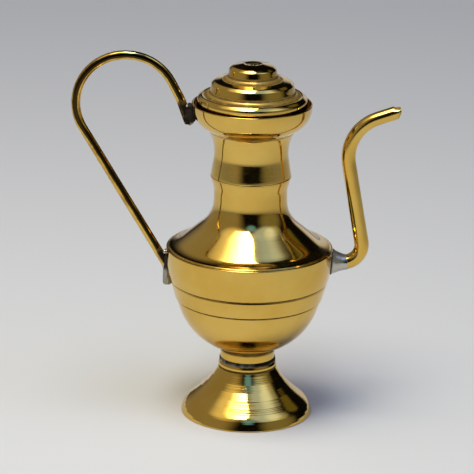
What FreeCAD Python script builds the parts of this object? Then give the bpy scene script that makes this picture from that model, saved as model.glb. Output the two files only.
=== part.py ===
import FreeCAD, Part
import Sketcher
import os

# A small spun-brass pouring pot: pedestal foot, banded bowl, trumpet neck, open mouth cup with a
# loose stepped lid, a rod handle on -X and a bent tube spout on +X.
# Millimetres, +Z up, origin on the pot's axis at the plane it stands on.

LENGTHS = {
    "wall": 1.0,
    "lid_wall": 0.9,
    "edge_round": 0.4,
    "line_radius": 0.55,
    "lower_line_ring": 39.8,
    "lower_line_height": 65.8,
    "upper_line_ring": 43.1,
    "upper_line_height": 76.0,
    "rod_radius": 2.45,
    "rod_end_round": 1.2,
    "spout_root_radius": 4.0,
    "spout_tip_radius": 3.65,
    "spout_wall": 0.8,
    "spout_mouth_across": 79.3,
    "spout_mouth_cut": 10.0,
    "spout_hole_radius": 4.1,
    "spout_hole_depth": 10.0,
    "spout_solder_base": 7.9,
    "spout_solder_end": 4.4,
    "spout_solder_start": 43.6,
    "spout_solder_length": 9.9,
    "top_solder_reach": 31.8,
    "top_solder_height": 167.0,
    "top_solder_tall": 5.8,
    "top_solder_deep": 4.2,
    "top_solder_wide": 3.2,
    "bottom_solder_reach": 44.6,
    "bottom_solder_height": 82.4,
    "bottom_solder_tall": 10.6,
    "bottom_solder_deep": 1.7,
    "bottom_solder_wide": 3.6,
}

# Corners of the outer faces, as distance from the axis, height and rounding of the corner.
# A corner with no rounding stays sharp or is an end.
CORNERS = {
    "foot_flange": (32.6, 0.0, None),
    "foot_lip": (36.0, 0.0, 0.6),
    "foot_brim": (34.6, 5.5, 6.0),
    "foot_bell": (21.0, 16.5, 50.0),
    "foot_throat": (15.3, 26.5, None),
    "foot_collar": (15.9, 27.2, None),
    "foot_top": (15.9, 29.6, None),
    "bowl_centre": (0.0, 27.6, None),
    "bowl_bottom": (14.8, 27.6, 1.5),
    "bowl_stem": (14.8, 37.1, 2.5),
    "bowl_belly": (34.7, 46.2, 39.0),
    "bowl_belly_top": (39.0, 65.6, None),
    "bowl_band_start": (40.3, 66.3, None),
    "bowl_band_end": (42.6, 75.5, None),
    "bowl_side_start": (43.0, 76.4, None),
    "bowl_side": (45.0, 83.3, 46.0),
    "bowl_rim": (45.0, 94.2, None),
    "bowl_core": (0.0, 94.2, None),
    "shoulder_lap": (43.9, 91.2, None),
    "shoulder_edge": (43.9, 95.0, 1.4),
    "shoulder_ledge": (40.6, 95.3, 5.0),
    "shoulder_crease": (36.6, 98.4, None),
    "shoulder_trumpet": (19.75, 112.3, 18.4),
    "shoulder_flare": (19.75, 127.3, 10.0),
    "shoulder_top": (21.65, 133.6, None),
    "cup_bottom": (21.65, 134.6, None),
    "cup_neck": (20.2, 139.4, 8.0),
    "cup_flare": (20.2, 153.6, 22.0),
    "cup_throat": (23.35, 159.75, 4.0),
    "cup_turn": (31.4, 165.0, 13.0),
    "cup_rim": (32.3, 174.2, None),
    "cup_core_top": (0.0, 174.2, None),
    "cup_core_bottom": (0.0, 134.6, None),
    "lid_skirt": (29.0, 166.2, None),
    "lid_side": (29.4, 177.0, 2.2),
    "lid_brim": (27.2, 178.9, 1.4),
    "lid_cove": (25.3, 178.4, 0.6),
    "lid_step_flare": (22.8, 180.4, 2.4),
    "lid_step_side": (21.9, 184.9, 1.5),
    "lid_step_top": (20.3, 186.4, 1.2),
    "lid_valley": (15.4, 187.4, 0.8),
    "knob_flare": (13.2, 189.2, 2.2),
    "knob_side": (12.5, 193.2, 1.4),
    "knob_top": (10.8, 194.5, 1.2),
    "knob_dimple": (4.9, 195.8, 1.0),
    "knob_pit": (2.8, 194.8, 1.0),
    "knob_centre": (0.7, 194.5, None),
    "foot_solder_out": (15.8, 29.6, None),
    "foot_solder_in": (14.4, 29.6, None),
    "foot_solder_top": (14.4, 33.3, None),
    "foot_solder_edge": (15.3, 32.5, None),
    "rim_solder_out": (44.8, 94.2, None),
    "rim_solder_in": (43.2, 94.2, None),
    "rim_solder_top": (43.2, 94.9, None),
    "neck_seam_low": (20.7, 133.5, None),
    "neck_seam_out_low": (21.6, 133.5, None),
    "neck_seam_peak": (21.9, 134.1, None),
    "neck_seam_out_high": (21.6, 134.7, None),
    "neck_seam_high": (20.7, 134.7, None),
}

# Corners of the bent rod and tube, in the XZ plane: X, height and bend radius.
BENDS = {
    "handle_low": (-44.3, 71.7, None),
    "handle_heel": (-44.3, 82.3, 8.0),
    "handle_back": (-114.3, 199.1, 26.6),
    "handle_crest": (-50.6, 199.1, 26.6),
    "handle_toe": (-38.2, 175.6, 20.0),
    "handle_high": (-33.4, 162.2, None),
    "spout_root": (43.0, 86.2, None),
    "spout_elbow": (62.4, 86.2, 9.8),
    "spout_sway": (49.0, 160.5, 22.5),
    "spout_tip": (80.8, 171.8, None),
}

FOOT = ["foot_flange", "foot_lip", "foot_brim", "foot_bell", "foot_throat", "foot_collar", "foot_top"]
BOWL = [
    "bowl_centre", "bowl_bottom", "bowl_stem", "bowl_belly", "bowl_belly_top",
    "bowl_band_start", "bowl_band_end", "bowl_side_start", "bowl_side", "bowl_rim",
]
SHOULDER = [
    "shoulder_lap", "shoulder_edge", "shoulder_ledge", "shoulder_crease",
    "shoulder_trumpet", "shoulder_flare", "shoulder_top",
]
CUP = ["cup_bottom", "cup_neck", "cup_flare", "cup_throat", "cup_turn", "cup_rim"]
LID = [
    "lid_skirt", "lid_side", "lid_brim", "lid_cove", "lid_step_flare", "lid_step_side", "lid_step_top",
    "lid_valley", "knob_flare", "knob_side", "knob_top", "knob_dimple", "knob_pit", "knob_centre",
]
HANDLE = ["handle_low", "handle_heel", "handle_back", "handle_crest", "handle_toe", "handle_high"]
SPOUT = ["spout_root", "spout_elbow", "spout_sway", "spout_tip"]
FOOT_SOLDER = ["foot_solder_out", "foot_solder_in", "foot_solder_top", "foot_solder_edge"]
RIM_SOLDER = ["rim_solder_out", "rim_solder_in", "rim_solder_top"]
NECK_SEAM = [
    "neck_seam_low", "neck_seam_out_low", "neck_seam_peak", "neck_seam_out_high", "neck_seam_high",
]

ORIGIN = FreeCAD.Vector(0, 0, 0)
UP = FreeCAD.Vector(0, 0, 1)
UPRIGHT = FreeCAD.Placement(ORIGIN, FreeCAD.Rotation(FreeCAD.Vector(1, 0, 0), 90))
ALONG_X = FreeCAD.Rotation(FreeCAD.Vector(0, 1, 0), 90)

doc = FreeCAD.newDocument("brass_pot")
sheet = doc.addObject("Spreadsheet::Sheet", "Sizes")


def fill_sheet():
    """Gives every driving dimension a row and an alias."""
    rows = dict(LENGTHS)
    for name, (across, height, rounding) in {**CORNERS, **BENDS}.items():
        rows[name + "_across"] = across
        rows[name + "_height"] = height
        if rounding is not None:
            rows[name + "_round"] = rounding
    for row, (alias, value) in enumerate(rows.items(), start=1):
        sheet.set(f"A{row}", alias)
        sheet.set(f"B{row}", str(value))
        sheet.setAlias(f"B{row}", alias)
    doc.recompute()


def bind(thing, **sizes):
    """Drives properties of a document object by expressions on the sheet."""
    for name, expression in sizes.items():
        thing.setExpression(name, expression)


def named(thing, label):
    """Labels a finished sub-part with its node name."""
    thing.Label = label
    return thing


def hold(sketch, constraint, expression):
    """Adds a dimension to a sketch and drives it from the sheet."""
    index = sketch.addConstraint(constraint)
    sketch.setExpression(f"Constraints[{index}]", expression)


def draw_corners(sketch, corners, closed=False):
    """Draws straight runs through the named corners and rounds each one that has a rounding."""
    points = []
    for name in corners:
        across = sheet.get(name + "_across")
        points.append(FreeCAD.Vector(across, sheet.get(name + "_height"), 0))
    ends = points[1:] + points[:1] if closed else points[1:]
    for start, end in zip(points, ends):
        sketch.addGeometry(Part.LineSegment(start, end))
    runs = sketch.GeometryCount
    for run in range(runs - 1):
        sketch.addConstraint(Sketcher.Constraint("Coincident", run, 2, run + 1, 1))
    if closed:
        sketch.addConstraint(Sketcher.Constraint("Coincident", runs - 1, 2, 0, 1))
    for number, (name, point) in enumerate(zip(corners, points)):
        run, end = (number, 1) if number < runs else (runs - 1, 2)
        if point.x == 0:
            sketch.addConstraint(Sketcher.Constraint("PointOnObject", run, end, -2))
        else:
            across = Sketcher.Constraint("DistanceX", -1, 1, run, end, point.x)
            hold(sketch, across, f"Sizes.{name}_across")
        height = Sketcher.Constraint("DistanceY", -1, 1, run, end, point.y)
        hold(sketch, height, f"Sizes.{name}_height")
    doc.recompute()
    for number, name in enumerate(corners):
        if {**CORNERS, **BENDS}[name][2] is None:
            continue
        rounding = sheet.get(name + "_round")
        arc = sketch.GeometryCount
        sketch.fillet(number - 1, 2, rounding, True, True)
        hold(sketch, Sketcher.Constraint("Radius", arc, rounding), f"Sizes.{name}_round")
    doc.recompute()


def outline(name, corners, closed=False):
    """Half section of a turned piece, drawn in the XZ plane."""
    sketch = doc.addObject("Sketcher::SketchObject", name)
    sketch.Placement = UPRIGHT
    draw_corners(sketch, corners, closed)
    return sketch


def turned(name, section):
    """Turns a half section about the pot's axis."""
    piece = doc.addObject("Part::Revolution", name)
    piece.Source = section
    piece.Base = ORIGIN
    piece.Axis = UP
    piece.Angle = 360
    piece.Solid = True
    return piece


def spun(name, corners, thickness):
    """Sheet-metal shell whose outer face follows the corners and whose wall lies inside it."""
    sheet_metal = doc.addObject("Part::Offset2D", name + "_section")
    sheet_metal.Source = outline(name + "_outline", corners)
    sheet_metal.Mode = "Skin"
    sheet_metal.Join = "Intersection"
    sheet_metal.Fill = True
    bind(sheet_metal, Value=thickness)
    return turned(name, sheet_metal)


def cut_away(base, *tools):
    """Takes each tool in turn out of the base."""
    for tool in tools:
        piece = doc.addObject("Part::Cut", base.Name + "_cut")
        piece.Base = base
        piece.Tool = tool
        base = piece
    return base


def turned_line(name):
    """Ring that cuts one fine turned line round the bowl."""
    ring = doc.addObject("Part::Torus", name)
    bind(ring, Radius1=f"Sizes.{name}_ring", Radius2="Sizes.line_radius")
    ring.setExpression("Placement.Base.z", f"Sizes.{name}_height")
    return ring


def make_foot():
    return named(spun("foot_shell", FOOT, "Sizes.wall"), "foot")


def make_bowl():
    """Shell with two turned lines and the hole that lets the spout's tube in."""
    hole = doc.addObject("Part::Cylinder", "spout_hole")
    hole.Placement.Rotation = ALONG_X
    bind(hole, Radius="Sizes.spout_hole_radius", Height="Sizes.spout_hole_depth")
    hole.setExpression("Placement.Base.x", "Sizes.bowl_rim_across - Sizes.spout_hole_depth / 2")
    hole.setExpression("Placement.Base.z", "Sizes.spout_root_height")
    shell = spun("bowl_shell", BOWL, "Sizes.wall")
    lines = [turned_line("lower_line"), turned_line("upper_line")]
    return named(cut_away(shell, *lines, hole), "bowl")


def make_shoulder():
    return named(spun("shoulder_shell", SHOULDER, "Sizes.wall"), "shoulder")


def make_mouth_cup():
    """Upper neck and cup, with the cup's rim rounded over."""
    shell = spun("cup_shell", CUP, "Sizes.wall")
    doc.recompute()
    rim = doc.addObject("Part::Fillet", "cup_rounded")
    rim.Base = shell
    rounding = sheet.get("edge_round")
    lowest = sheet.get("cup_rim_height") - rounding
    edges = enumerate(shell.Shape.Edges, start=1)
    rim.Edges = [(number, rounding, rounding) for number, edge in edges if edge.BoundBox.ZMin > lowest]
    return named(rim, "mouth_cup")


def make_lid():
    return named(spun("lid_shell", LID, "Sizes.lid_wall"), "lid")


def all_edges(path):
    """Names of a path's edges, from its start to its end."""
    return [f"Edge{number}" for number in range(1, len(path.Shape.Edges) + 1)]


def make_handle(bowl_form):
    """Round rod bent into a loop, with both ends rounded and the lower one cut to sit on the bowl."""
    body = doc.addObject("PartDesign::Body", "handle_body")
    plane = next(item for item in body.Origin.OriginFeatures if item.Role == "XZ_Plane")
    path = body.newObject("Sketcher::SketchObject", "handle_path")
    path.AttachmentSupport = [(plane, "")]
    path.MapMode = "FlatFace"
    draw_corners(path, HANDLE)
    section = body.newObject("Sketcher::SketchObject", "handle_section")
    section.AttachmentSupport = [(path, "Edge1")]
    section.MapMode = "NormalToEdge"
    radius = sheet.get("rod_radius")
    section.addGeometry(Part.Circle(ORIGIN, UP, radius))
    section.addConstraint(Sketcher.Constraint("Coincident", 0, 3, -1, 1))
    hold(section, Sketcher.Constraint("Radius", 0, radius), "Sizes.rod_radius")
    rod = body.newObject("PartDesign::AdditivePipe", "handle_rod")
    rod.Profile = section
    rod.Spine = (path, all_edges(path))
    doc.recompute()
    flat_ends = [face for face in rod.Shape.Faces if face.Surface.TypeId == "Part::GeomPlane"]
    rims = [edge for face in flat_ends for edge in face.Edges]
    edges = enumerate(rod.Shape.Edges, start=1)
    ends = [f"Edge{number}" for number, edge in edges if any(edge.isSame(rim) for rim in rims)]
    rounded = body.newObject("PartDesign::Fillet", "handle_ends")
    rounded.Base = (rod, ends)
    bind(rounded, Radius="Sizes.rod_end_round")
    body.Tip = rounded
    return named(cut_away(body, bowl_form), "handle")


def swept(name, path, root_radius, tip_radius):
    """Round bar along the path that tapers from its root to its tip."""
    runs = all_edges(path)
    rings = []
    for edge, place, radius in ((runs[0], 0.0, root_radius), (runs[-1], 1.0, tip_radius)):
        ring = doc.addObject("Part::Circle", name + "_ring")
        ring.AttachmentSupport = [(path, edge)]
        ring.MapMode = "NormalToEdge"
        ring.MapPathParameter = place
        bind(ring, Radius=radius)
        rings.append(ring)
    bar = doc.addObject("Part::Sweep", name)
    bar.Sections = rings
    bar.Spine = (path, runs)
    bar.Solid = True
    return bar


def make_spout():
    """Tapered tube with its mouth cut plumb, as an outer bar and the bore that is taken out of it."""
    path = outline("spout_path", SPOUT)
    bar = swept("spout_bar", path, "Sizes.spout_root_radius", "Sizes.spout_tip_radius")
    bore = swept(
        "spout_bore", path,
        "Sizes.spout_root_radius - Sizes.spout_wall",
        "Sizes.spout_tip_radius - Sizes.spout_wall",
    )
    mouth = doc.addObject("Part::Box", "spout_mouth")
    bind(
        mouth,
        Length="Sizes.spout_mouth_cut",
        Width="Sizes.spout_mouth_cut",
        Height="Sizes.spout_mouth_cut * 2",
    )
    mouth.setExpression("Placement.Base.x", "Sizes.spout_mouth_across")
    mouth.setExpression("Placement.Base.y", "-Sizes.spout_mouth_cut / 2")
    mouth.setExpression("Placement.Base.z", "Sizes.spout_tip_height - Sizes.spout_mouth_cut")
    return named(cut_away(bar, bore, mouth), "spout"), bar


def make_ring(name, corners, *neighbours):
    """Turned ring of solder that fills the corner between its neighbours."""
    ring = turned(name + "_ring", outline(name + "_section", corners, closed=True))
    return named(cut_away(ring, *neighbours), name)


def make_spout_solder(bowl_form, spout_bar):
    """Cone of solder between the bowl's side and the tube."""
    cone = doc.addObject("Part::Cone", "spout_cone")
    cone.Placement.Rotation = ALONG_X
    bind(
        cone,
        Radius1="Sizes.spout_solder_base",
        Radius2="Sizes.spout_solder_end",
        Height="Sizes.spout_solder_length",
    )
    cone.setExpression("Placement.Base.x", "Sizes.spout_solder_start")
    cone.setExpression("Placement.Base.z", "Sizes.spout_root_height")
    return named(cut_away(cone, bowl_form, spout_bar), "spout_solder")


def make_handle_solder(end, form, handle):
    """Blob of solder in the gap between one end of the rod and the wall beside it."""
    blob = doc.addObject("Part::Ellipsoid", f"handle_{end}_blob")
    bind(
        blob,
        Radius1=f"Sizes.{end}_solder_tall",
        Radius2=f"Sizes.{end}_solder_deep",
        Radius3=f"Sizes.{end}_solder_wide",
    )
    blob.setExpression("Placement.Base.x", f"-Sizes.{end}_solder_reach")
    blob.setExpression("Placement.Base.z", f"Sizes.{end}_solder_height")
    return named(cut_away(blob, form, handle), f"handle_{end}_solder")


def check(pieces):
    """Stops before anything is written if a feature failed or a piece isn't one sound solid."""
    for item in doc.Objects:
        if "Invalid" in item.State or "Error" in item.State:
            raise RuntimeError(f"{item.Name} failed: {item.State}")
    for piece in pieces:
        shape = piece.Shape
        if shape.isNull() or not shape.isValid() or len(shape.Solids) != 1:
            raise RuntimeError(f"{piece.Label} isn't one sound solid")
        print(f"{piece.Label}: {shape.Volume:.0f} mm3")


def main():
    fill_sheet()
    bowl_form = turned("bowl_form", outline("bowl_form_outline", BOWL + ["bowl_core"], closed=True))
    cup_core = ["cup_core_top", "cup_core_bottom"]
    cup_form = turned("cup_form", outline("cup_form_outline", CUP + cup_core, closed=True))
    foot = make_foot()
    bowl = make_bowl()
    shoulder = make_shoulder()
    mouth_cup = make_mouth_cup()
    handle = make_handle(bowl_form)
    spout, spout_bar = make_spout()
    pieces = [
        foot, bowl, shoulder, mouth_cup, make_lid(), handle, spout,
        make_ring("foot_solder", FOOT_SOLDER, bowl),
        make_ring("rim_solder", RIM_SOLDER, shoulder),
        make_ring("neck_seam", NECK_SEAM, shoulder, mouth_cup),
        make_spout_solder(bowl_form, spout_bar),
        make_handle_solder("top", cup_form, handle),
        make_handle_solder("bottom", bowl_form, handle),
    ]
    doc.recompute()
    check(pieces)
    os.makedirs("parts", exist_ok=True)
    for piece in pieces:
        piece.Shape.exportStep(f"parts/{piece.Label}.step")


main()
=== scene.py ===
import math

import bpy
from mathutils import Matrix, Vector, noise


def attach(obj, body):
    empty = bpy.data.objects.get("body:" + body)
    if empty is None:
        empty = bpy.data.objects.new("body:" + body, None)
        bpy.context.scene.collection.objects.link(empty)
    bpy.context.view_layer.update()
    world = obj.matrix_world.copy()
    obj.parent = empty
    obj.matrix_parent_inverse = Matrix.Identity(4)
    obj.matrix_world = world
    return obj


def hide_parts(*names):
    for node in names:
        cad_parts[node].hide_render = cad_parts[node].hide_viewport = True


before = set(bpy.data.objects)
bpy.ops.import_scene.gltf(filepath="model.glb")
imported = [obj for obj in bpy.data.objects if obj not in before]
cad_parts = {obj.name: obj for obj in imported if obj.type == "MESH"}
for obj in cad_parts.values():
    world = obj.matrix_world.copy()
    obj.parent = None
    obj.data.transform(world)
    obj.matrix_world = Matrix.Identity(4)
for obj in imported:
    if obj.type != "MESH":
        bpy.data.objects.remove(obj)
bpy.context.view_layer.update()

# Sizes are in millimetres, and become metres as each mesh is made.
MM = 0.001
WALL = 1.0
LID_WALL = 0.9

# Fineness of the meshes: points round the axis, angle and number of arc steps, longest straight step.
SEGMENTS = 144
ARC_STEP = math.radians(7)
FEWEST_ARC_STEPS = 3
LONGEST_RUN = 2.2

# Below these sizes a cut, a turn, a step or a distance counts as none. The last one guards divisions.
NO_CUT = 1e-4
NO_TURN = 1e-3
NO_STEP = 1e-5
NO_DISTANCE = 1e-6
NOT_ZERO = 1e-9

# Half sections of the turned pieces in millimetres: distance from the axis, height, rounding.
FOOT = [
    (32.6, 0.0, 0.3), (36.0, 0.0, 0.6), (34.6, 5.5, 12.0), (21.0, 16.5, 50.0),
    (15.3, 26.5, 0.3), (15.9, 27.2, 0.25), (15.9, 28.3, 1.3), (15.25, 29.6, 0.3),
]
BOWL = [
    (0.0, 27.6, 0.0), (14.8, 27.6, 1.5), (14.8, 37.1, 2.5), (34.7, 46.2, 39.0),
    (38.7, 64.1, 0.4), (38.65, 65.6, 0.25), (40.1, 66.4, 0.2), (42.4, 74.9, 0.3),
    (42.15, 76.0, 0.25), (43.0, 76.5, 0.15), (45.0, 83.3, 46.0), (45.0, 94.2, 0.5),
]
SHOULDER = [
    (43.9, 91.2, 0.25), (43.9, 95.0, 0.9), (39.8, 95.4, 10.0),
    (19.75, 112.3, 18.4), (19.75, 127.3, 10.0), (21.65, 133.6, 0.25),
]
CUP = [
    (21.65, 134.6, 0.25), (19.85, 145.6, 13.0), (20.1, 153.6, 22.0), (23.35, 159.75, 4.0),
    (31.4, 165.0, 13.0), (32.3, 174.2, 0.4),
]
LID = [
    (29.0, 166.2, 0.3), (29.4, 177.0, 2.2), (27.2, 178.9, 1.4), (25.3, 178.4, 0.6),
    (22.8, 180.4, 2.4), (21.9, 184.9, 1.5), (20.3, 186.4, 1.2), (15.4, 187.4, 0.8),
    (13.2, 189.2, 2.2), (12.5, 193.2, 1.4), (10.8, 194.5, 1.2), (4.9, 195.8, 0.8),
    (3.0, 195.15, 3.0), (0.7, 194.95, 0.15),
]
FOOT_SOLDER = [(14.5, 29.6, 0.1), (15.4, 29.6, 0.15), (15.15, 31.3, 0.3), (14.75, 32.1, 0.15)]
RIM_SOLDER = [(43.2, 94.2, 0.1), (44.8, 94.2, 0.2), (43.4, 94.9, 0.2)]
NECK_SEAM = [
    (20.9, 133.5, 0.1), (21.6, 133.5, 0.15), (21.8, 134.1, 0.3), (21.6, 134.7, 0.15), (20.9, 134.7, 0.1),
]

# Bent paths in the XZ plane in millimetres: X, height, bend radius.
HANDLE_PATH = [
    (-44.3, 71.7, 0.0), (-44.3, 82.3, 8.0), (-114.3, 199.1, 26.6), (-50.6, 199.1, 26.6),
    (-38.2, 175.6, 20.0), (-33.4, 162.2, 0.0),
]
SPOUT_HEIGHT = 86.2
SPOUT_PATH = [(43.0, SPOUT_HEIGHT, 0.0), (62.4, SPOUT_HEIGHT, 9.8), (49.0, 160.5, 22.5), (80.8, 171.8, 0.0)]
SPOUT_MOUTH = 79.3


def fade(value, full, none):
    """1 at the full mark, 0 at the other, smooth between them."""
    share = max(0.0, min(1.0, (value - none) / (full - none)))
    return share * share * (3 - 2 * share)


def left_of(direction):
    """Direction square to the given one, on its left."""
    return Vector((-direction.y, direction.x))


def directions(points, closed):
    """Directions from each point to the next."""
    ends = points[1:] + points[:1] if closed else points[1:]
    return [(b - a).normalized() for a, b in zip(points, ends)]


def turn(before, after):
    """Signed angle from one direction to the next."""
    return math.atan2(before.cross(after), before.dot(after))


# Share of a straight run that the arcs at its two ends may take up.
USABLE = 0.9995


def rounded(corners, closed):
    """Points along straight runs through the corners, with an arc at each rounded corner."""
    points = [Vector(c[:2]) for c in corners]
    count = len(points)
    runs = directions(points, closed)
    lengths = [(points[(i + 1) % count] - points[i]).length for i in range(len(runs))]
    inner = range(count) if closed else range(1, count - 1)
    cut = [0.0] * count
    for i in inner:
        cut[i] = corners[i][2] * abs(math.tan(turn(runs[i - 1], runs[i % len(runs)]) / 2))
    for i, length in enumerate(lengths):
        j = (i + 1) % count
        spare = USABLE * length / max(cut[i] + cut[j], NOT_ZERO)
        if spare < 1:
            cut[i] *= spare
            cut[j] *= spare
    path = []
    for i, point in enumerate(points):
        angle = turn(runs[i - 1], runs[i % len(runs)]) if i in inner else 0.0
        if cut[i] < NO_CUT or abs(angle) < NO_TURN:
            path.append(point)
            continue
        radius = cut[i] / abs(math.tan(angle / 2))
        start = point - runs[i - 1] * cut[i]
        centre = start + left_of(runs[i - 1]) * math.copysign(radius, angle)
        steps = max(FEWEST_ARC_STEPS, math.ceil(abs(angle) / ARC_STEP))
        for k in range(steps + 1):
            path.append(centre + Matrix.Rotation(angle * k / steps, 2) @ (start - centre))
    return path


def divided(path, closed, longest=LONGEST_RUN):
    """The same path with no run longer than the given length."""
    ends = path[1:] + path[:1] if closed else path[1:]
    points = []
    for a, b in zip(path, ends):
        if (b - a).length < NO_STEP:
            continue
        steps = max(1, math.ceil((b - a).length / longest))
        points += [a.lerp(b, k / steps) for k in range(steps)]
    return points if closed else points + [path[-1]]


SMALLEST_RADIUS = 0.05


def inset(corners, wall):
    """Corners of the inner face of a sheet whose outer face has the given corners."""
    points = [Vector(c[:2]) for c in corners]
    runs = directions(points, False)
    found = []
    for i, (point, corner) in enumerate(zip(points, corners)):
        before = runs[max(i - 1, 0)]
        after = runs[min(i, len(runs) - 1)]
        a, b = left_of(before), left_of(after)
        shifted = point + (a + b) * (wall / (1 + a.dot(b)))
        angle = turn(before, after)
        ends = i in (0, len(points) - 1)
        radius = corner[2] if ends else corner[2] - math.copysign(wall, angle)
        found.append((shifted.x, shifted.y, max(radius, SMALLEST_RADIUS)))
    return found


def shell_section(outer, wall):
    """Closed section of a spun sheet, or an open one from axis to axis."""
    inner = inset(outer, wall)[::-1]
    closed = outer[0][0] > 0
    return divided(rounded(outer + inner, closed), closed), closed


def outward(path, closed, i):
    """Normal of a section at one point, on the right of the direction of travel."""
    last = len(path) - 1
    before = path[i - 1] if i or closed else path[0]
    after = path[(i + 1) % len(path)] if i < last or closed else path[last]
    along = (after - before).normalized()
    return Vector((along.y, -along.x))


# Most that a hollow in a turned section counts for, so that the black of the soot and shade marks stays
# darker than the grime and painted shade in hollows.
DEEPEST = 0.4


def relief(path, closed, reach=0.9):
    """How hollow, above 0, or proud, below 0, each point of a section is."""
    found = []
    count = len(path)
    for i, point in enumerate(path):
        sides = []
        for step in (-1, 1):
            j, walked = i, 0.0
            at = point
            while walked < reach:
                k = j + step
                if not closed and not 0 <= k < count:
                    break
                k %= count
                run = (path[k] - path[j]).length
                share = min(1.0, (reach - walked) / max(run, NOT_ZERO))
                at = path[j].lerp(path[k], share)
                walked += run
                j = k
            sides.append(at)
        bend = (sides[0] + sides[1]) / 2 - point
        found.append(min(DEEPEST, 2.0 * bend.dot(outward(path, closed, i)) / reach))
    return found


def add_piece(name, verts, faces, metal, body, node, slot, **marks):
    """One smooth mesh in metres that rides on a body and stands for its node.

    Marks are values at the vertices that the materials read.
    """
    mesh = bpy.data.meshes.new(name)
    mesh.from_pydata([Vector(v) * MM for v in verts], [], faces)
    mesh.polygons.foreach_set("use_smooth", [True] * len(mesh.polygons))
    for mark, values in marks.items():
        mesh.attributes.new(mark, "FLOAT", "POINT").data.foreach_set("value", values)
    mesh.materials.append(metal)
    mesh.update()
    piece = bpy.data.objects.new(name, mesh)
    bpy.context.scene.collection.objects.link(piece)
    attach(piece, body)
    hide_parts(node)
    return piece


def lathe(path, closed, values, wobble=None):
    """Vertices, faces and values of a section turned about the axis."""
    verts, faces, spread, rings = [], [], [], []
    for i, point in enumerate(path):
        count = 1 if point.x < NO_DISTANCE else SEGMENTS
        rings.append((len(verts), count))
        for k in range(count):
            angle = math.tau * k / SEGMENTS
            at = Vector((point.x * math.cos(angle), point.x * math.sin(angle), point.y))
            if wobble:
                at += wobble(at, i)
            verts.append(at)
            spread.append(values[i])
    pairs = list(zip(rings, rings[1:])) + ([(rings[-1], rings[0])] if closed else [])
    for (a, many_a), (b, many_b) in pairs:
        for k in range(SEGMENTS):
            m = (k + 1) % SEGMENTS
            if many_a == 1:
                faces.append((a, b + m, b + k))
            elif many_b == 1:
                faces.append((a + k, a + m, b))
            else:
                faces.append((a + k, a + m, b + m, b + k))
    return verts, faces, spread


# Materials

def colour(*rgb):
    """Opaque colour from red, green and blue."""
    return (*rgb, 1.0)


class Nodes:
    """Short hand for building a node tree. A value is a number, a colour or another node's output."""

    def __init__(self, tree):
        self.tree = tree

    def new(self, kind, inputs=None, **settings):
        """New node with its settings made and its inputs filled."""
        node = self.tree.nodes.new(kind)
        for key, value in settings.items():
            setattr(node, key, value)
        for key, value in (inputs or {}).items():
            self.put(node.inputs[key], value)
        return node

    def put(self, socket, value):
        """Links an output to the socket, or sets the socket's own value."""
        if isinstance(value, bpy.types.NodeSocket):
            self.tree.links.new(value, socket)
        else:
            socket.default_value = value

    def math(self, operation, a, b=0.0, clamp=False):
        return self.new("ShaderNodeMath", {0: a, 1: b}, operation=operation, use_clamp=clamp).outputs[0]

    def vector(self, operation, a, b=(0, 0, 0)):
        node = self.new("ShaderNodeVectorMath", {0: a, 1: b}, operation=operation)
        return node.outputs["Value" if operation in ("LENGTH", "DOT_PRODUCT") else "Vector"]

    def noise(self, vector, scale, detail=3.0, roughness=0.5, dimensions="3D", w=None):
        inputs = {"Vector": vector, "Scale": scale, "Detail": detail, "Roughness": roughness}
        if w is not None:
            inputs["W"] = w
        return self.new("ShaderNodeTexNoise", inputs, noise_dimensions=dimensions).outputs["Fac"]

    def spread(self, value, low, high, to_low=0.0, to_high=1.0):
        """Smooth step from one range to another."""
        inputs = {"Value": value, "From Min": low, "From Max": high, "To Min": to_low, "To Max": to_high}
        return self.new("ShaderNodeMapRange", inputs, interpolation_type="SMOOTHSTEP").outputs[0]

    def mix(self, factor, a, b, blend="MIX"):
        """Mix of two colours, whose sockets are 6 and 7 in and 2 out."""
        inputs = {0: factor, 6: a, 7: b}
        return self.new("ShaderNodeMix", inputs, data_type="RGBA", blend_type=blend).outputs[2]

    def bump(self, height, strength, distance, normal=None):
        """Normal with a relief, on top of another normal if one is given."""
        inputs = {"Height": height, "Strength": strength, "Distance": distance}
        if normal is not None:
            inputs["Normal"] = normal
        return self.new("ShaderNodeBump", inputs).outputs[0]


# Weak reflection where a surface isn't metal, so that soot and painted shade stay black.
DULL_SPECULAR = 0.1


def material(name):
    """New material with its nodes and its shader."""
    made = bpy.data.materials.new(name)
    made.use_nodes = True
    shader = made.node_tree.nodes["Principled BSDF"]
    shader.inputs["Specular IOR Level"].default_value = DULL_SPECULAR
    return made, Nodes(made.node_tree), shader


BRASS_MID = colour(0.72, 0.465, 0.098)
BRASS_WARM = colour(0.67, 0.41, 0.072)
BRASS_PALE = colour(0.76, 0.525, 0.134)
BRASS_BROWN = colour(0.30, 0.14, 0.03)
# Tarnish colour, also used as painted shade in the hollows.
BRASS_GRIME_AND_SHADE = colour(0.13, 0.07, 0.014)
# Black for soot, and for painted shade and painted reflection.
SOOT_AND_SHADE = colour(0.016, 0.010, 0.004)
TIN = colour(0.30, 0.29, 0.22)
SOLDER_GREY = colour(0.53, 0.51, 0.44)


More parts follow.
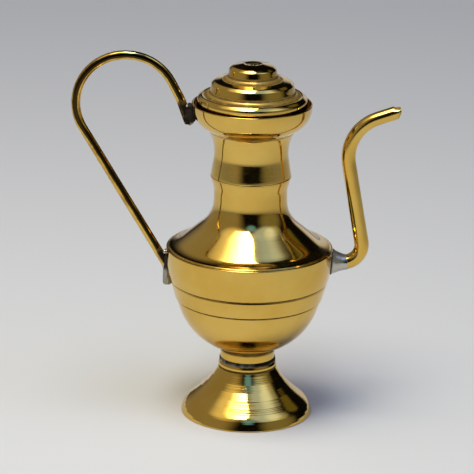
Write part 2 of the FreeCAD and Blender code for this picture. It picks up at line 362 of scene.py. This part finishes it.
def brass(name, turned, line_strength=0.25, patina_and_painted_reflection=0.0):
    """Polished brass with turning or drawing lines, faint smudges, tarnish with painted shade in its
    hollows, and on the rod a painted dark reflection along the flanks.
    """
    cloud_scale, spot_scale, patch_scale, wave_scale = 34.0, 260.0, 120.0, 48.0
    turned_scale, drawn_scale = 1500.0, 900.0
    wave_strength, wave_depth, line_depth, off_axis = 0.22, 0.0006, 0.00003, 0.00001
    made, n, shader = material(name)
    where = n.new("ShaderNodeTexCoord").outputs["Object"]
    hollow = n.new("ShaderNodeAttribute", attribute_name="hollow").outputs["Fac"]
    cloud = n.noise(where, cloud_scale, 4.0, 0.55)
    spots = n.noise(where, spot_scale, 3.0, 0.6)
    if turned:
        axes = n.new("ShaderNodeSeparateXYZ", {0: where}).outputs
        across = n.vector("LENGTH", n.vector("MULTIPLY", where, (1, 1, 0)))
        safe = n.math("MAXIMUM", across, off_axis)
        side_x = n.math("DIVIDE", axes["X"], safe)
        side_y = n.math("DIVIDE", axes["Y"], safe)
        reach = n.math("MULTIPLY", across, turned_scale)
        height = n.math("MULTIPLY", axes["Z"], turned_scale)
        lathe_place = n.new("ShaderNodeCombineXYZ", {0: reach, 1: height, 2: side_x}).outputs[0]
        lines = n.noise(lathe_place, 1.0, 2.0, 0.6, "4D", side_y)
    else:
        lines = n.noise(where, drawn_scale, 2.0, 0.6)
    tone = n.mix(n.spread(cloud, 0.35, 0.65), BRASS_WARM, BRASS_PALE)
    tone = n.mix(0.55, BRASS_MID, tone)
    if patina_and_painted_reflection:
        # On the rod: brown patina patches, then a painted dark reflection along both flanks, then the
        # tinned tail.
        flank_reflection = n.new("ShaderNodeAttribute", attribute_name="patina_and_painted_reflection").outputs["Fac"]
        patches = n.spread(n.noise(where, patch_scale, 5.0, 0.65), 0.40, 0.68)
        tone = n.mix(n.math("MULTIPLY", patches, patina_and_painted_reflection), tone, BRASS_BROWN)
        ragged = n.math("ADD", flank_reflection, n.math("MULTIPLY", n.math("SUBTRACT", patches, 0.5), 0.35))
        tone = n.mix(n.spread(ragged, 0.2, 0.8, 0.0, 0.95), tone, SOOT_AND_SHADE)
        tone = n.mix(n.new("ShaderNodeAttribute", attribute_name="tin").outputs["Fac"], tone, TIN)
    # Tarnish in the hollows with painted shade: grooves, valleys and dents are darkened where their
    # reflection falls dark.
    dirt_and_shade = n.math("MULTIPLY", n.spread(hollow, 0.08, 0.38), n.spread(spots, 0.2, 0.6, 0.7, 0.98))
    grime_and_shade = n.mix(n.spread(hollow, DEEPEST, 0.75), BRASS_GRIME_AND_SHADE, SOOT_AND_SHADE)
    n.put(shader.inputs["Base Color"], n.mix(dirt_and_shade, tone, grime_and_shade))
    gloss = n.math("ADD", n.spread(spots, 0.3, 0.75, 0.05, 0.10), n.spread(lines, 0.3, 0.8, 0.0, 0.04))
    gloss = n.math("ADD", gloss, n.math("MULTIPLY", dirt_and_shade, 0.65))
    n.put(shader.inputs["Roughness"], gloss)
    n.put(shader.inputs["Metallic"], n.spread(dirt_and_shade, 0.0, 1.0, 1.0, 0.25))
    waves = n.bump(n.noise(where, wave_scale, 1.0), wave_strength, wave_depth)
    n.put(shader.inputs["Normal"], n.bump(lines, line_strength, line_depth, waves))
    return made


def solder(name):
    """Grey soft solder with darker oxide in patches, and black where its mark asks: torch blackening at the
    joints and painted shade on sides that reflect the dark room.
    """
    patch_scale, patch_strength, patch_depth = 330.0, 0.3, 0.0003
    grain_scale, grain_strength, grain_depth = 1900.0, 0.2, 0.00004
    made, n, shader = material(name)
    where = n.new("ShaderNodeTexCoord").outputs["Object"]
    soot_and_shade = n.new("ShaderNodeAttribute", attribute_name="hollow").outputs["Fac"]
    patches = n.noise(where, patch_scale, 4.0, 0.6)
    grain = n.noise(where, grain_scale, 3.0, 0.6)
    share = n.math("ADD", n.spread(patches, 0.57, 0.80), soot_and_shade, clamp=True)
    n.put(shader.inputs["Base Color"], n.mix(share, SOLDER_GREY, SOOT_AND_SHADE))
    gloss = n.math("ADD", n.spread(patches, 0.3, 0.7, 0.16, 0.30), n.spread(share, 0.2, 1.0, 0.0, 0.5))
    n.put(shader.inputs["Roughness"], gloss)
    n.put(shader.inputs["Metallic"], n.spread(share, 0.0, 1.0, 1.0, 0.3))
    rough = n.bump(grain, grain_strength, grain_depth)
    n.put(shader.inputs["Normal"], n.bump(patches, patch_strength, patch_depth, rough))
    return made


turned_brass = brass("turned_brass", turned=True)
foot_brass = brass("foot_brass", turned=True, line_strength=0.5)
drawn_brass = brass("drawn_brass", turned=False, line_strength=0.12)
rod_brass = brass("rod_brass", turned=False, line_strength=0.12, patina_and_painted_reflection=0.55)
grey_solder = solder("grey_solder")


# Turned pieces

# Dents in the lid: place and depth.
LID_DINGS = [((-20.2, -9.4, 182.4), 0.45), ((-21.6, -7.0, 181.6), 0.3), ((-24.5, -14.6, 176.8), 0.4)]
DING_REACH = 0.9
# Grime with painted shade in the dents, darkening them where they reflect dark.
DING_GRIME_AND_SHADE = 0.3


def spun(name, node, outer, wall, metal=None, body="pot", shape=None, dings=()):
    """Spun sheet piece that stands for its node."""
    section, closed = shell_section(outer, wall)
    if shape:
        section = shape(section, closed)
    verts, faces, values = lathe(section, closed, relief(section, closed))
    for place, depth in dings:
        for i, at in enumerate(verts):
            near = math.exp(-((at - Vector(place)).length / DING_REACH) ** 2)
            at -= Vector((at.x, at.y, 0)).normalized() * depth * near
            # Dents take grime with painted shade.
            values[i] = max(values[i], DING_GRIME_AND_SHADE * near)
    return add_piece(name, verts, faces, metal or turned_brass, body, node, "brass", hollow=values)


def turning_marks(section, closed):
    """Fine uneven rings left by the tool on the outside of the foot's bell."""
    step, depth, bell_low, bell_high = 0.17, 0.006, 6.0, 26.0
    coarse_pitch, fine_pitch = 1.31, 0.79
    fine = divided(section, closed, step)
    walked, marked = 0.0, []
    for i, point in enumerate(fine):
        walked += (point - fine[i - 1]).length if i else 0.0
        side = outward(fine, closed, i)
        on_bell = side.y > 0.3 and side.x > 0.2 and bell_low < point.y < bell_high
        beat = math.sin(math.tau * walked / coarse_pitch + 1.9 * math.sin(0.8 * walked))
        beat += 0.6 * math.sin(math.tau * walked / fine_pitch + 1.7)
        marked.append(point + side * (depth * beat if on_bell else 0.0))
    return marked


spun("foot_metal", "foot", FOOT, WALL, foot_brass, shape=turning_marks)
bowl = spun("bowl_metal", "bowl", BOWL, WALL)
spun("shoulder_metal", "shoulder", SHOULDER, WALL)
spun("mouth_cup_metal", "mouth_cup", CUP, WALL)
spun("lid_metal", "lid", LID, LID_WALL, body="lid", dings=LID_DINGS)


def cut_spout_hole(piece):
    """Opens the bowl's side where the tube goes in."""
    sides, radius, depth, middle = 48, 4.1, 10, Vector((45, 0, SPOUT_HEIGHT))
    bpy.ops.mesh.primitive_cylinder_add(
        vertices=sides, radius=radius * MM, depth=depth * MM,
        location=middle * MM, rotation=(0, math.pi / 2, 0),
    )
    cutter = bpy.context.object
    cut = piece.modifiers.new("hole", "BOOLEAN")
    cut.operation = "DIFFERENCE"
    cut.solver = "EXACT"
    cut.object = cutter
    graph = bpy.context.evaluated_depsgraph_get()
    holed = piece.evaluated_get(graph)
    opened = bpy.data.meshes.new_from_object(holed, preserve_all_data_layers=True, depsgraph=graph)
    piece.modifiers.clear()
    piece.data = opened
    bpy.data.objects.remove(cutter)
    opened.set_sharp_from_angle(angle=math.radians(50))


cut_spout_hole(bowl)


def ring(name, node, corners, metal, slot, lumps, soot_and_shade=None):
    """Thin turned ring with a slightly uneven surface."""
    step = 0.4
    section = divided(rounded(corners, True), True, step)

    def uneven(at, i):
        away = Vector((at.x, at.y, 0)).normalized()
        lift = lumps * noise.noise(at * 0.6 + away * 30)
        return away * lumps * noise.noise(at * 0.45) + Vector((0, 0, lift))

    verts, faces, values = lathe(section, True, [0.0] * len(section), uneven)
    if soot_and_shade:
        values = [soot_and_shade(at) for at in verts]
    add_piece(name, verts, faces, metal, "pot", node, slot, hollow=values)


def foot_soot_and_shade(at):
    """Dark joint, blackest at the top of the fillet, with painted shade added on the spout's side, away
    from the light.
    """
    patchy = 0.75 + 0.35 * noise.noise(at * 0.3)
    # Painted shade on the spout's side.
    spout_side = 0.25 * fade(at.x, 8.0, -12.0)
    bottom = 0.3 * fade(at.z, 29.6, 30.6)
    return patchy + spout_side - bottom


ring("foot_solder_fillet", "foot_solder", FOOT_SOLDER, grey_solder, "solder", lumps=0.10, soot_and_shade=foot_soot_and_shade)
ring("rim_solder_fillet", "rim_solder", RIM_SOLDER, turned_brass, "solder", lumps=0.03)
ring("neck_seam_ring", "neck_seam", NECK_SEAM, turned_brass, "brass", lumps=0.03)


# Bent pieces

def bent(corners, longest):
    """Points and directions along a bent path in the XZ plane."""
    path = divided(rounded(corners, False), False, longest)
    ways = []
    for i in range(len(path)):
        ways.append((path[min(i + 1, len(path) - 1)] - path[max(i - 1, 0)]).normalized())
    return path, ways


def tube_ring(centre, way, radius, sides):
    """Points round a path, square to it."""
    across = Vector((-way.y, 0, way.x))
    middle = Vector((centre.x, 0, centre.y))
    found = []
    for k in range(sides):
        angle = math.tau * k / sides
        found.append(middle + across * radius * math.cos(angle) + Vector((0, radius * math.sin(angle), 0)))
    return found


def strip_faces(rings, sides, closed=False):
    """Faces between rings of points that follow each other, facing outwards."""
    faces = []
    for a in range(rings if closed else rings - 1):
        b = (a + 1) % rings
        for k in range(sides):
            m = (k + 1) % sides
            faces.append((a * sides + k, b * sides + k, b * sides + m, a * sides + m))
    return faces


def face_line(corners):
    """Outer face of a turned piece as a line of points."""
    return divided(rounded(corners, False), False)


def reach_at(face, height):
    """Distance of a turned piece's outer face from the axis at one height."""
    best = 0.0
    for a, b in zip(face, face[1:]):
        between = min(a.y, b.y) - NO_DISTANCE <= height <= max(a.y, b.y) + NO_DISTANCE
        if between and abs(b.y - a.y) > NOT_ZERO:
            best = max(best, a.lerp(b, (height - a.y) / (b.y - a.y)).x)
    return best


def kept_out(at, face, sunk):
    """The point moved straight out of a turned piece, to lie a little below its outer face."""
    wall = reach_at(face, at.z) - sunk
    out = math.hypot(at.x, at.y)
    if out >= wall:
        return at
    return Vector((at.x * wall / out, at.y * wall / out, at.z))


BOWL_FACE = face_line(BOWL)
CUP_FACE = face_line(CUP)


def make_handle():
    """Round rod with rounded ends, the lower one lying on the bowl, blackened beside its joints, with
    painted shade on its side facing the bowl and a painted dark reflection along its flanks.
    """
    sides, radius, end_round, steps, longest, sunk = 40, 2.45, 1.2, 4, 1.6, 0.15
    # Heights where the arch, the lower soot with painted shade and the tin are whole and where they end.
    arch_full, arch_none = 172.0, 146.0
    soot_shade_full, soot_shade_none = 89.0, 94.0
    tin_full, tin_none = 80.0, 83.0
    # Upper soot: its middle, and the distances from there where it is whole and where it ends.
    torch_x, torch_height, torch_full, torch_none = -33.6, 164.0, 9.0, 12.5
    wander, wander_scale = 2.2, 0.35
    # Painted dark reflection along both flanks: lean, half width and soft edge in degrees.
    leg_lean, arch_lean, leg_width, arch_width = -22, 12, 32, 36
    edge_inside, edge_outside = 12, 8
    path, ways = bent(HANDLE_PATH, longest)
    bevel = []
    for k in range(steps + 1):
        lean = math.radians(90 * k / steps)
        bevel.append((end_round * (1 - math.sin(lean)), radius - end_round * (1 - math.cos(lean))))
    stations = [(path[0] + ways[0] * back, ways[0], size) for back, size in bevel[::-1]]
    stations += [(p, w, radius) for p, w in zip(path[2:-2], ways[2:-2])]
    stations += [(path[-1] - ways[-1] * back, ways[-1], size) for back, size in bevel]
    verts, soot_and_shade, patina_and_painted_reflection, tin = [], [], [], []
    for centre, way, size in stations:
        arched = fade(centre.y, arch_full, arch_none)
        lean = math.radians(leg_lean + (arch_lean - leg_lean) * arched)
        width = leg_width + (arch_width - leg_width) * arched
        for k, at in enumerate(tube_ring(centre, way, size, sides)):
            angle = math.tau * k / sides
            toward_flank = abs(math.sin(angle)) * math.cos(lean) + math.cos(angle) * math.sin(lean)
            off = math.degrees(math.acos(max(-1.0, min(1.0, toward_flank))))
            # Painted dark reflection band on the flanks.
            patina_and_painted_reflection.append(fade(off, width - edge_inside, width + edge_outside))
            ragged = wander * noise.noise(at * wander_scale)
            # Lower darkening on the side facing the bowl: soot at the joint with painted shade between rod
            # and bowl.
            inner = fade(math.cos(angle), -0.2, 0.6)
            low = inner * fade(at.z + 0.4 * ragged, soot_shade_full, soot_shade_none)
            from_torch = math.hypot(at.x - torch_x, at.z - torch_height)
            high = fade(from_torch + ragged, torch_full, torch_none)
            tinned = fade(at.z + 0.5 * ragged, tin_full, tin_none)
            verts.append(kept_out(at, BOWL_FACE, sunk))
            soot_and_shade.append(max(low * (1 - tinned), high))
            tin.append(tinned)
    faces = strip_faces(len(stations), sides)
    faces.append(tuple(range(sides)))
    faces.append(tuple(range(len(verts) - sides, len(verts)))[::-1])
    marks = {"hollow": soot_and_shade, "patina_and_painted_reflection": patina_and_painted_reflection, "tin": tin}
    add_piece("handle_rod", verts, faces, rod_brass, "pot", "handle", "brass", **marks)


def make_spout():
    """Tapered tube whose mouth is cut back above its lip and filed round below it."""
    sides, wall, root, tip, lip, longest = 72, 0.8, 4.0, 3.65, 0.25, 1.5
    lip_rise, slot_rise, top_cut, chin_cut = 0.3, 0.8, 3.8, 1.5
    dull_bore = 0.2

    def cut_back(rise):
        """How far the mouth lies behind the lip, from the bottom of the tube, -1, to its top, 1."""
        below = max(0.0, lip_rise - rise) / (1 + lip_rise)
        return top_cut * fade(rise, slot_rise, lip_rise) + chin_cut * below ** 2

    path, ways = bent(SPOUT_PATH, longest)
    lengths = [0.0]
    for a, b in zip(path, path[1:]):
        lengths.append(lengths[-1] + (b - a).length)
    run = [(p, w, root + (tip - root) * s / lengths[-1]) for p, w, s in zip(path, ways, lengths)]
    run = [station for station in run if station[0].x < SPOUT_MOUTH - top_cut]
    end, way = path[-1], ways[-1]
    verts = [v for p, w, r in run for v in tube_ring(p, w, r, sides)]
    eased = 0.3 * lip
    mouth = [(lip, tip), (eased, tip - eased), (0.0, tip - lip)]
    mouth += [(back, 2 * tip - wall - size) for back, size in mouth[::-1]]
    for back, size in mouth:
        for k, at in enumerate(tube_ring(end, way, size, sides)):
            back_there = back + cut_back(math.cos(math.tau * k / sides))
            at += Vector((way.x, 0, way.y)) * ((SPOUT_MOUTH - back_there - at.x) / way.x)
            verts.append(at)
    verts += [v for p, w, r in run[::-1] for v in tube_ring(p, w, r - wall, sides)]
    faces = strip_faces(len(verts) // sides, sides, True)
    outside = len(run) * sides
    dull = [0.0] * outside + [dull_bore] * (len(verts) - outside)
    add_piece("spout_tube", verts, faces, drawn_brass, "pot", "spout", "brass", hollow=dull)


make_handle()
make_spout()


# Solder at the joints

def ball(rows, sides, place):
    """Closed ball, with each point placed by its direction from the middle."""
    verts, faces = [], []
    for i in range(rows + 1):
        lean = math.pi * i / rows
        for k in range(1 if i in (0, rows) else sides):
            angle = math.tau * k / sides
            flat = math.sin(lean)
            verts.append(place(Vector((flat * math.cos(angle), flat * math.sin(angle), math.cos(lean)))))
    last = 1 + (rows - 2) * sides
    for k in range(sides):
        m = (k + 1) % sides
        faces.append((0, 1 + k, 1 + m))
        faces.append((last + m, last + k, len(verts) - 1))
    for i in range(rows - 2):
        a, b = 1 + i * sides, 1 + (i + 1) * sides
        for k in range(sides):
            m = (k + 1) % sides
            faces.append((a + k, b + k, b + m, a + m))
    return verts, faces


# Depth of a blob's underside below the wall it is on.
BLOB_SUNK = 0.35


def make_blob(name, node, centre, half, face, bead, bead_size, soot_and_shade):
    """Uneven lump of solder that hugs the wall it is on, with a round bead in its upper end."""
    middle, bead_at = Vector(centre), Vector(bead)

    def skin(way):
        broad = 0.14 * noise.noise(way * 1.4 + middle)
        fine = 0.07 * noise.noise(way * 3.7 + middle)
        smooth = Vector((way.x * half[0], way.y * half[1], way.z * half[2]))
        at = middle + smooth * (1 + broad + fine)
        return kept_out(at, face, BLOB_SUNK)

    verts, faces = ball(rows=56, sides=48, place=skin)
    values = [soot_and_shade(at) for at in verts]
    round_verts, round_faces = ball(rows=16, sides=24, place=lambda way: bead_at + way * bead_size)
    faces += [tuple(len(verts) + i for i in corners) for corners in round_faces]
    verts += round_verts
    values += [0.0] * len(round_verts)
    add_piece(name, verts, faces, grey_solder, "pot", node, "solder", hollow=values)


make_blob(
    "handle_top_joint", "handle_top_solder",
    centre=(-33.3, 0, 167.2), half=(3.6, 3.2, 6.2), face=CUP_FACE,
    bead=(-34.6, -2.3, 172.5), bead_size=0.75,
    soot_and_shade=lambda at: 0.97 * fade(at.z, 164.0, 161.5),
)
make_blob(
    "handle_bottom_joint", "handle_bottom_solder",
    centre=(-44.6, 0, 82.4), half=(1.9, 3.5, 10.5), face=BOWL_FACE,
    bead=(-45.6, -1.7, 90.7), bead_size=1.35,
    soot_and_shade=lambda at: 0.35 + 0.6 * fade(at.z, 82.5, 79.5),
)


def make_spout_joint():
    """Concave cone of solder from the bowl's side to the tube, darkened at the bowl and with painted shade
    on top.
    """
    sides, rows = 56, 16
    base, tube, far, rim, sunk = 7.7, 3.98, 53.3, 94.0, 0.3
    skin, hollowed, lumps = 0.12, 1.7, 0.28
    top_painted_shade, root_soot = 0.4, 0.9
    loops, soot_and_shade = [], []
    for k in range(sides):
        angle = math.tau * k / sides
        lean = Vector((0, math.sin(angle), math.cos(angle)))
        foot = Vector((0, 0, SPOUT_HEIGHT)) + lean * base
        near = math.sqrt(reach_at(BOWL_FACE, min(foot.z, rim)) ** 2 - foot.y ** 2) - sunk
        column = []
        for i in range(rows + 1):
            s = i / rows
            out = tube + skin + (base - tube - skin) * (1 - s) ** hollowed
            at = Vector((near + (far - near) * s, 0, SPOUT_HEIGHT)) + lean * out
            at += lean * lumps * (1 - s) * noise.noise(at * 0.3)
            column.append(at)
        column.append(Vector((far, 0, SPOUT_HEIGHT)) + lean * tube)
        column.append(Vector((near, 0, SPOUT_HEIGHT)) + lean * tube)
        loops.append(column)
    rings = rows + 3
    verts = [loops[k][i] for i in range(rings) for k in range(sides)]
    for i in range(rings):
        for k in range(sides):
            # Painted shade on the upper side, which reflects the dark room; a dark joint line at the bowl.
            top = top_painted_shade * fade(math.cos(math.tau * k / sides), 0.9, 0.1)
            soot_and_shade.append(max(top, root_soot * fade(i / rows, 0.06, 0.16)))
    faces = strip_faces(rings, sides, True)
    add_piece("spout_joint", verts, faces, grey_solder, "pot", "spout_solder", "solder", hollow=soot_and_shade)


make_spout_joint()


# Stage, light and camera, in metres

def make_floor():
    """Round sheet of plain pale paper."""
    sides, radius, pale, roughness = 96, 8.0, colour(0.80, 0.77, 0.705), 0.9
    made, _, shader = material("floor_paper")
    shader.inputs["Base Color"].default_value = pale
    shader.inputs["Roughness"].default_value = roughness
    bpy.ops.mesh.primitive_circle_add(vertices=sides, radius=radius, fill_type="NGON", location=(0, 0, 0))
    floor = bpy.context.object
    floor.name = "floor"
    floor.data.materials.append(made)


def toward(azimuth, elevation):
    """Direction from the pot: azimuth from the camera's side, positive to the right, in degrees."""
    a, e = math.radians(azimuth), math.radians(elevation)
    return Vector((math.sin(a) * math.cos(e), -math.cos(a) * math.cos(e), math.sin(e)))


def make_world():
    """Dim studio surround: a grey wall on the left, a cooler panel on the right, a pale sweep behind."""
    world = bpy.data.worlds.new("studio")
    bpy.context.scene.world = world
    world.use_nodes = True
    n = Nodes(world.node_tree)
    way = n.new("ShaderNodeTexCoord").outputs["Generated"]
    back = world.node_tree.nodes["Background"]
    total = colour(0.004, 0.004, 0.004)
    # Direction, half angles of the full and the faded part in degrees, colour.
    glows = [
        (toward(-92, 14), 46, 76, (0.30, 0.275, 0.23)),
        (toward(-62, 68), 8, 32, (0.75, 0.72, 0.60)),
        (toward(4, 46), 2, 14, (0.16, 0.45, 1.40)),
        (toward(56, 59), 12, 27, (0.50, 0.72, 1.55)),
        (toward(80, 50), 8, 22, (0.36, 0.40, 0.52)),
        (toward(124, 38), 4, 13, (0.13, 0.12, 0.04)),
        (toward(62, 16), 10, 42, (0.22, 0.22, 0.17)),
        (toward(170, -6), 18, 27, (0.60, 0.62, 0.72)),
    ]
    for axis, inner, outer, tint in glows:
        lined = n.vector("DOT_PRODUCT", way, axis)
        share = n.spread(lined, math.cos(math.radians(outer)), math.cos(math.radians(inner)))
        total = n.mix(share, total, n.mix(1.0, total, colour(*tint), "ADD"))
    n.put(back.inputs["Color"], total)
    back.inputs["Strength"].default_value = 1.0


def make_softbox():
    """Large soft light overhead, mostly left of the pot, dimmer and warmer towards its left edge."""
    width, depth, radiance, falloff = 0.81, 0.80, 9.6, 1.6
    warm, cool = colour(1.0, 0.95, 0.80), colour(0.90, 1.0, 1.12)
    light = bpy.data.lights.new("softbox", "AREA")
    light.shape = "RECTANGLE"
    light.size = width
    light.size_y = depth
    light.energy = math.pi * light.size * light.size_y * radiance
    light.use_nodes = True
    n = Nodes(light.node_tree)
    lamp_place = n.new("ShaderNodeNewGeometry").outputs["Parametric"]
    across = n.new("ShaderNodeSeparateXYZ", {0: lamp_place}).outputs["X"]
    glow = light.node_tree.nodes["Emission"]
    n.put(glow.inputs["Strength"], n.math("POWER", n.spread(across, 0.0, 0.7), falloff))
    n.put(glow.inputs["Color"], n.mix(n.spread(across, 0.45, 0.95), warm, cool))
    lamp = bpy.data.objects.new("softbox", light)
    bpy.context.scene.collection.objects.link(lamp)
    lamp.location = (-0.344, -0.282, 1.25)
    lamp.rotation_euler.z = math.radians(-13)


def make_camera():
    """Looks down a little on the pot from the front, as the photograph does."""
    elevation, distance, roll = math.radians(17.88), 1.558, math.radians(1.12)
    aim = Vector((0, 0, 0.0937))
    frame_pixels, right_pixels, up_pixels = 474, -12.5, 9.9
    lens = bpy.data.cameras.new("camera")
    lens.sensor_width = 36.0
    lens.lens = 218.96
    lens.shift_x = right_pixels / frame_pixels
    lens.shift_y = up_pixels / frame_pixels
    lens.clip_end = 50.0
    camera = bpy.data.objects.new("camera", lens)
    bpy.context.scene.collection.objects.link(camera)
    place = aim + distance * Vector((0, -math.cos(elevation), math.sin(elevation)))
    tilt = Matrix.Rotation(math.pi / 2 - elevation, 4, "X") @ Matrix.Rotation(roll, 4, "Z")
    camera.matrix_world = Matrix.Translation(place) @ tilt
    bpy.context.scene.camera = camera


make_floor()
make_world()
make_softbox()
make_camera()
bpy.context.scene.view_settings.view_transform = "Standard"
